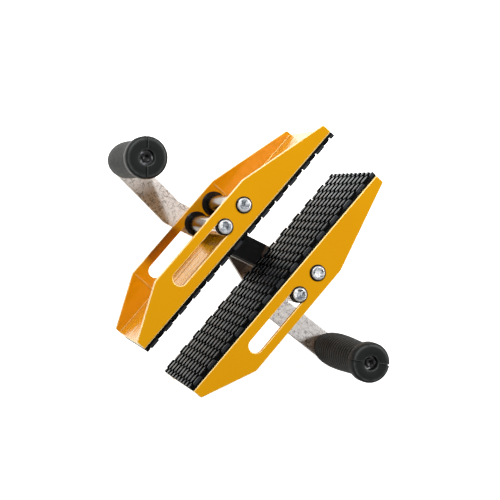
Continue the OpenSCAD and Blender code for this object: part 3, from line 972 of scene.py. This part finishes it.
def pin_shape(node):
    """Headed pin, its thread at the low end; the rim of the head is worn."""
    axis, head, z0, z1 = round_part(node)
    z_head = FRONT + 1.24
    profile = threaded_shank(z0, thread_length=12.0, shoulder=z_head)
    profile += [(head - 0.25, z_head), (head, z_head + 0.25), (head, z1 - 1.0),
                (head - 0.12, z1 - 0.72), (head - 0.95, z1 - 0.12), (head - 1.25, z1 - 0.02),
                (head - 1.7, z1), (head - 2.6, z1 - 0.03), (2.4, z1 - 0.14), (0.0, z1 - 0.16)]
    wear = [1.0 if z > z1 - 0.9 and radius > head - 1.3 else 0.0 for radius, z in profile]
    return lathe(profile, axis, wear=wear)


def bush_shape(node, seat, radii):
    """Flanged bush: a neck up to the seat, then the flange."""
    axis, flange, z0, z1 = round_part(node)
    neck = 7.7
    if "slide" in node:
        seat += 0.1
    points = [(BORE_RADIUS, z0), (neck, z0), (neck, seat), (flange, seat), (flange, z1),
              (BORE_RADIUS, z1)]
    return lathe(rounded(points, radii, step=22), axis, closed=True)


for side in ("left", "right"):
    for kind in ("fixed", "slide"):
        part = f"{side}_{kind}"
        build(f"{part}_pin_turned", pin_shape(f"{part}_pin"), f"{part}_pin", "zinc_pin")
        node = f"{part}_front_bush"
        build(f"{node}_rim", bush_shape(node, FRONT, [0.2, 0.3, 0.1, 0.25, 0.45, 0.1]),
              node, "black_nylon")
        node = f"{part}_rear_bush"
        build(f"{node}_collar",
              bush_shape(node, REAR + JAW_SHEET, [0.2, 0.3, 0.1, 0.4, 0.9, 0.3]),
              node, "black_nylon")
        for name, node in ((f"{part}_spacer_tube", f"{part}_tube"),
                           (f"{part}_arm_spacer", f"{part}_spacer")):
            build(name, tube_shape(node, edge_radius=0.6), node, "polished_steel")

for side, pins in ARM_PINS.items():
    # the grip's fixings first, then the left pin's and the right pin's
    axes = [centre_xy(node) for node in (f"{side}_grip_post", *sorted(pins))]
    low, high = box_mm(f"{side}_arm_washers")
    washers = Shape()
    for axis in axes:
        washer = ring_shape(axis, BORE_RADIUS, ARM_WASHER_RADIUS, low[2], high[2],
                            edge_radius=0.28, segments=64)
        washers.add(washer.verts, washer.faces)
    build(f"{side}_arm_flat_washers", washers, f"{side}_arm_washers", "zinc_hardware")
    low, high = box_mm(f"{side}_arm_nuts")
    nuts = Shape()
    for axis in axes:
        add_nut(nuts, axis, low[2], high[2])
    build(f"{side}_arm_hex_nuts", nuts, f"{side}_arm_nuts", "zinc_hardware", sharp=24,
          weighted=False)


# ---------------------------------------------------------------- pivot

def pivot_bolt_shape():
    """Countersunk bolt with a round recess in its head."""
    axis, head, z0, z1 = round_part("pivot_bolt")
    profile = threaded_shank(z0, thread_length=12.0, shoulder=z1 - 4.0)
    profile += [(head - 0.2, z1 - 0.25), (head - 0.25, z1 - 0.05), (head - 0.6, z1), (3.6, z1),
                (3.3, z1 - 0.3), (3.3, z1 - 2.4), (0.0, z1 - 3.0)]
    return lathe(profile, axis)


def pivot_nut_shape():
    axis, _, z0, z1 = round_part("pivot_nut")
    nut = Shape()
    add_nut(nut, axis, z0, z1)
    return nut


build("pivot_bolt_countersunk", pivot_bolt_shape(), "pivot_bolt", "zinc_pin")
for node, material in (("pivot_thrust_washer", "black_nylon"), ("pivot_washer", "zinc_hardware")):
    build(f"{node}_ring", tube_shape(node, edge_radius=0.2), node, material)
build("pivot_hex_nut", pivot_nut_shape(), "pivot_nut", "zinc_hardware", sharp=24, weighted=False)


# ---------------------------------------------------------------- rubber stop on the left arm

def stop_shape():
    """Rectangular sheet laid along the line between the left arm's pins."""
    low, high = box_mm("slab_stop")
    middle = centre("slab_stop")
    half_length, half_width = 62.0 / 2, 27.2 / 2
    side_shift, corner_radius, edge_radius = 0.9, 2.0, 0.7
    fixed, slide = (np.array(centre_xy(node)) for node in ARM_PINS["left"])
    along = unit(fixed - slide)
    across = np.array([-along[1], along[0]])
    outline = rounded([(-half_length, -half_width), (half_length, -half_width),
                       (half_length, half_width), (-half_length, half_width)],
                      [corner_radius] * 4, step=9.0)

    def place(x, y, depth):
        point = middle[:2] + along * x + across * (y + side_shift)
        return (point[0], point[1], high[2] - depth)

    return plate(outline, [], high[2] - low[2], edge_radius, place)


build("slab_stop_sheet", stop_shape(), "slab_stop", "black_rubber_sheet")


# ---------------------------------------------------------------- hand grips

# smooth body of a grip: (height above its low end, radius)
GRIP_BODY = [(0, 14.2), (2, 15.2), (8, 16.8), (16, 18.3), (28, 19.5), (42, 20.2), (58, 20.3),
             (76, 19.9), (94, 19.2), (112, 18.6), (128, 18.2), (140, 18.15)]
# one rib: (share of the pitch, depth below the body)
GRIP_RIB = [(0.00, 0.78), (0.07, 0.98), (0.15, 1.02), (0.22, 0.90), (0.29, 0.45),
            (0.37, 0.16), (0.50, 0.0), (0.68, 0.0), (0.81, 0.14), (0.91, 0.42)]
RIBS, RIBS_START, RIBS_END = 18, 10.5, 136.5


def body_radius(z):
    """Smooth cubic through the body's points."""
    heights, radii = zip(*GRIP_BODY)
    i = max(j for j in range(len(heights) - 1) if heights[j] <= z)

    def slope(j):
        before, after = max(j - 1, 0), min(j + 1, len(heights) - 1)
        return (radii[after] - radii[before]) / (heights[after] - heights[before])

    gap = heights[i + 1] - heights[i]
    t = (z - heights[i]) / gap
    return ((2 * t**3 - 3 * t**2 + 1) * radii[i] + (t**3 - 2 * t**2 + t) * gap * slope(i)
            + (-2 * t**3 + 3 * t**2) * radii[i + 1] + (t**3 - t**2) * gap * slope(i + 1))


def grip_profile(end, length):
    """Closed section of a grip: (radius, height, painted highlight share). end is the radius of its
    top flange.
    """
    profile = [(7.05, 0.0, 0), (12.6, 0.0, 0), (13.7, 0.25, 0), (14.2, 0.9, 0)]
    for i in range(1, 7):
        profile.append((body_radius(1.6 * i) - 0.05, 1.6 * i, 0))
    pitch = (RIBS_END - RIBS_START) / RIBS
    for i in range(RIBS):
        for share, depth in GRIP_RIB:
            z = RIBS_START + i * pitch + share * pitch
            profile.append((body_radius(z) - depth, z, 0.22 if 0.3 < share < 0.95 else 0))
    # neck and top flange
    profile += [(body_radius(RIBS_END) - 0.70, RIBS_END, 0), (18.15, RIBS_END + 1.2, 0),
                (18.10, 139.4, 0), (18.35, 140.7, 0), (18.9, 141.5, 0), (20.6, 142.3, 0),
                (end - 0.55, 142.8, 1), (end - 0.12, 143.3, 1), (end, 144.0, 0),
                (end, length - 4.4, 0)]
    for i in range(1, 8):
        angle = math.pi / 2 * i / 8
        profile.append((end - 4.6 + 4.6 * math.cos(angle), length - 4.4 + 4.4 * math.sin(angle),
                        0.9 if i in (5, 6) else 0.25))
    # top face and the recess round the bore
    return profile + [
        (end - 5.0, length, 0), (end - 8.2, length - 0.05, 0), (9.5, length - 0.05, 0),
        (9.1, length - 0.12, 1), (8.75, length - 0.30, 1), (8.0, length - 1.05, 1),
        (7.8, length - 1.35, 0), (7.8, length - 9.6, 0), (7.55, length - 10.0, 0),
        (7.05, length - 10.0, 0)]


def grip_shape(node, turn, highlit_half):
    """Grip whose top flange has a groove across it, turned by turn degrees from x. The lips
    of the groove get a painted highlight in one half of the circle."""
    axis, end, z0, z1 = round_part(node)
    profile = grip_profile(end, z1 - z0)
    section = np.array([(radius, z) for radius, z, _ in profile])
    along = np.zeros_like(section)
    along[1:-1] = section[2:] - section[:-2]
    along[0], along[-1] = section[1] - section[0], section[-1] - section[-2]
    outward = np.stack([along[:, 1], -along[:, 0]], 1)
    outward /= np.linalg.norm(outward, axis=1)[:, None]

    groove_depth = 1.5
    wall_top, wall_foot, lip = 0.72, 0.50, 1.30   # half widths of the groove and its lips
    half = 48                                     # columns in half a turn
    plain = half - 7                              # columns clear of the groove
    verts = []
    for (radius, z), normal in zip(section, outward):
        depth = 0.0
        if z > 144.0 and radius > 8.6:
            depth = groove_depth * min(1.0, (z - 144.0) / 6.0)
        a_top, a_foot, a_lip = (math.asin(min(0.95, width / radius))
                                for width in (wall_top, wall_foot, lip))
        # (angle, share of the groove's depth)
        columns = [(0.0, 1.0), (a_foot, 1.0), (a_top, 0.0), (a_lip, 0.0)]
        columns += [(a_lip + (math.pi - 2 * a_lip) * k / (plain + 1), 0.0)
                    for k in range(1, plain + 1)]
        columns += [(math.pi - a_lip, 0.0), (math.pi - a_top, 0.0), (math.pi - a_foot, 1.0)]
        for number in (0, 1):
            start = math.radians(turn) + math.pi * number
            for angle, share in columns:
                r, height = np.array([radius, z]) - normal * depth * share
                verts.append((axis[0] + r * math.cos(start + angle),
                              axis[1] + r * math.sin(start + angle), z0 + height))
    wear = []
    for radius, z, share in profile:
        for i in range(2 * half):
            on_lip = (z > 145.0 and radius > 8.6 and i // half == highlit_half
                      and i % half in (2, half - 3))
            wear.append(1.0 if on_lip else float(share))
    shape = Shape()
    shape.add(verts, band_faces(len(profile), 2 * half, closed=True), wear)
    return shape


def post_shape(node, shoulder):
    """Post inside a grip: threaded below the arm, with a blind hole in its top."""
    axis, radius, z0, z1 = round_part(node)
    profile = threaded_shank(z0, thread_length=11.0, shoulder=shoulder)
    profile += [(radius - 0.3, shoulder), (radius, shoulder + 0.3), (radius, z1 - 0.4),
                (radius - 0.4, z1), (3.4, z1), (3.05, z1 - 0.35), (3.05, z1 - 20.0),
                (0.0, z1 - 21.5)]
    return lathe(profile, axis, segments=64)


def socket_screw_shape(node):
    """Cap screw with a knurled head and a hexagon socket."""
    axis, head, z0, z1 = round_part(node)
    z_head = z1 - 6.0
    knurl = 0.12

    def ring(radius, z, groove=0.0):
        return [(radius - (groove if i % 2 else 0.0), z) for i in range(HEX_SEGMENTS)]

    def hexagon(across_flats, z):
        return [(hexagon_radius(across_flats, i), z) for i in range(HEX_SEGMENTS)]

    rows = [ring(0.0, z0), ring(2.2, z0), ring(2.95, z0 + 0.6), ring(2.95, z_head),
            ring(head - 0.2, z_head), ring(head, z_head + 0.3),
            ring(head, z_head + 0.7, knurl), ring(head, z1 - 1.2, knurl),
            ring(head, z1 - 0.75), ring(head - 0.2, z1 - 0.3), ring(head - 0.6, z1),
            ring(3.3, z1), hexagon(5.35, z1 - 0.25), hexagon(5.0, z1 - 0.5),
            hexagon(5.0, z1 - 3.0), ring(0.0, z1 - 3.6)]
    shape = Shape()
    shape.add(around(axis, rows, turn=0.2), band_faces(len(rows), HEX_SEGMENTS))
    return shape


for side, turn, highlit_half in (("left", 130, 1), ("right", 33, 0)):
    build(f"{side}_hand_grip_moulding", grip_shape(f"{side}_grip", turn, highlit_half),
          f"{side}_grip", "moulded_grip", sharp=55, weighted=False)

for side in ("left", "right"):
    node = f"{side}_grip_post"
    arm_top = box_mm(f"{side}_arm")[1][2]
    build(f"{side}_grip_steel_post", post_shape(node, arm_top), node, "polished_steel")
    node = f"{side}_grip_screw"
    build(f"{side}_grip_cap_screw", socket_screw_shape(node), node, "black_oxide_steel",
          sharp=35, weighted=False)
    node = f"{side}_grip_washer"
    axis, radius, z0, z1 = round_part(node)
    washer = ring_shape(axis, SCREW_BORE_RADIUS, radius, z0, z1, edge_radius=0.2, segments=64)
    build(f"{side}_grip_end_washer", washer, node, "zinc_hardware")


# ---------------------------------------------------------------- floor and world, in metres

def pale_floor():
    """White glowing floor, clear from below, that lights the clamp more from its low x side."""
    m = Material("pale_floor")
    geometry = m.node("ShaderNodeNewGeometry")
    tone = m.mix(m.ramp(m.noise(scale=40.0, rough=0.6), (0.3, 0.0), (0.7, 1.0)),
                 under=(0.86, 0.86, 0.86), over=(0.88, 0.88, 0.88))
    surface = m.node("ShaderNodeBsdfPrincipled")
    m.put(surface.inputs["Base Color"], tone)
    m.put(surface.inputs["Roughness"], 0.9)
    m.put(surface.inputs["Specular IOR Level"], 0.1)
    seen = m.node("ShaderNodeLightPath").outputs["Is Camera Ray"]
    m.put(surface.inputs["Emission Color"],
          m.mix(seen, under=(0.98, 1.0, 0.95), over=(1.0, 1.0, 1.0)))
    glow = m.ramp(m.plus(m.axis(m.place, "X"), more=0.5), (0.52, 1.0), (0.66, 0.06))
    strength = m.plus(m.times(glow, by=0.75), m.times(seen, by=0.85))
    m.put(surface.inputs["Emission Strength"], strength)
    clear = m.node("ShaderNodeBsdfTransparent")
    mixer = m.node("ShaderNodeMixShader")
    m.put(mixer.inputs[0], geometry.outputs["Backfacing"])
    m.put(mixer.inputs[1], surface.outputs[0])
    m.put(mixer.inputs[2], clear.outputs[0])
    m.put(m.output.inputs["Surface"], mixer.outputs[0])
    return m.material


def add_floor():
    squares, half, z = 8, 6.0, -0.006
    material = pale_floor()
    mesh = bpy.data.meshes.new("floor")
    row = squares + 1
    verts = [(-half + 2 * half * i / squares, -half + 2 * half * j / squares, z)
             for j in range(row) for i in range(row)]
    faces = [(j * row + i, j * row + i + 1, (j + 1) * row + i + 1, (j + 1) * row + i)
             for j in range(squares) for i in range(squares)]
    mesh.from_pydata(verts, [], faces)
    obj = bpy.data.objects.new("floor", mesh)
    mesh.materials.append(material)
    bpy.context.scene.collection.objects.link(obj)


def add_world(unseen_strength, seen_strength):
    """White world, dim for lighting and bright to the camera."""
    world = bpy.data.worlds.new("studio")
    bpy.context.scene.world = world
    world.use_nodes = True
    nodes, links = world.node_tree.nodes, world.node_tree.links
    background = nodes["Background"]
    background.inputs["Color"].default_value = (1.0, 1.0, 1.0, 1.0)
    path = nodes.new("ShaderNodeLightPath")
    strength = nodes.new("ShaderNodeMapRange")
    strength.inputs["To Min"].default_value = unseen_strength
    strength.inputs["To Max"].default_value = seen_strength
    links.new(path.outputs["Is Camera Ray"], strength.inputs["Value"])
    links.new(strength.outputs["Result"], background.inputs["Strength"])


add_floor()
add_world(unseen_strength=0.08, seen_strength=1.0)


# ---------------------------------------------------------------- lights and camera, in metres

LIGHT_TARGET = Vector((0.0, 0.0, 0.11))


def area_light(name, heading, elevation, distance, size, power):
    """Square light aimed at the target; heading is (x, y), elevation in degrees."""
    rise = math.radians(elevation)
    direction = (Vector((*heading, 0)).normalized() * math.cos(rise)
                 + Vector((0, 0, math.sin(rise))))
    data = bpy.data.lights.new(name, "AREA")
    data.shape = "RECTANGLE"
    data.size = data.size_y = size
    data.energy = power
    light = bpy.data.objects.new(name, data)
    light.location = LIGHT_TARGET + direction * distance
    light.rotation_mode = "QUATERNION"
    light.rotation_quaternion = direction.to_track_quat("Z", "Y")
    bpy.context.scene.collection.objects.link(light)
    return light


def add_camera(location, turn, lens):
    """turn is a rotation vector (axis times angle) from the world's axes to a view frame with
    x right, y down and z forward."""
    angle = np.linalg.norm(turn)
    x, y, z = turn / angle
    cross = np.array([[0, -z, y], [z, 0, -x], [-y, x, 0]])
    to_view = np.eye(3) + math.sin(angle) * cross + (1 - math.cos(angle)) * cross @ cross
    data = bpy.data.cameras.new("camera")
    data.sensor_width, data.lens = 36.0, lens
    data.clip_start, data.clip_end = 0.05, 60.0
    camera = bpy.data.objects.new("camera", data)
    bpy.context.scene.collection.objects.link(camera)
    # Blender's camera has y up and looks along -z
    rotation = Matrix((to_view.T * (1, -1, -1)).tolist())
    camera.matrix_world = Matrix.Translation(location) @ rotation.to_4x4()
    bpy.context.scene.camera = camera


area_light("key_left", heading=(-0.94, 0.34), elevation=50, distance=2.2, size=0.12, power=36)
area_light("key_right", heading=(0.50, 0.87), elevation=50, distance=2.2, size=0.30, power=29)
fill = area_light("fill", heading=(-0.3, -0.2), elevation=80, distance=2.6, size=2.4, power=3.5)
fill.visible_glossy = False

bpy.context.scene.view_settings.view_transform = "Standard"
bpy.context.scene.view_settings.look = "None"

add_camera(location=(-0.323915, -0.191818, 1.508026),
           turn=np.array([2.86659305, 1.08321863, 0.399150522]), lens=95.61)

bpy.context.view_layer.update()
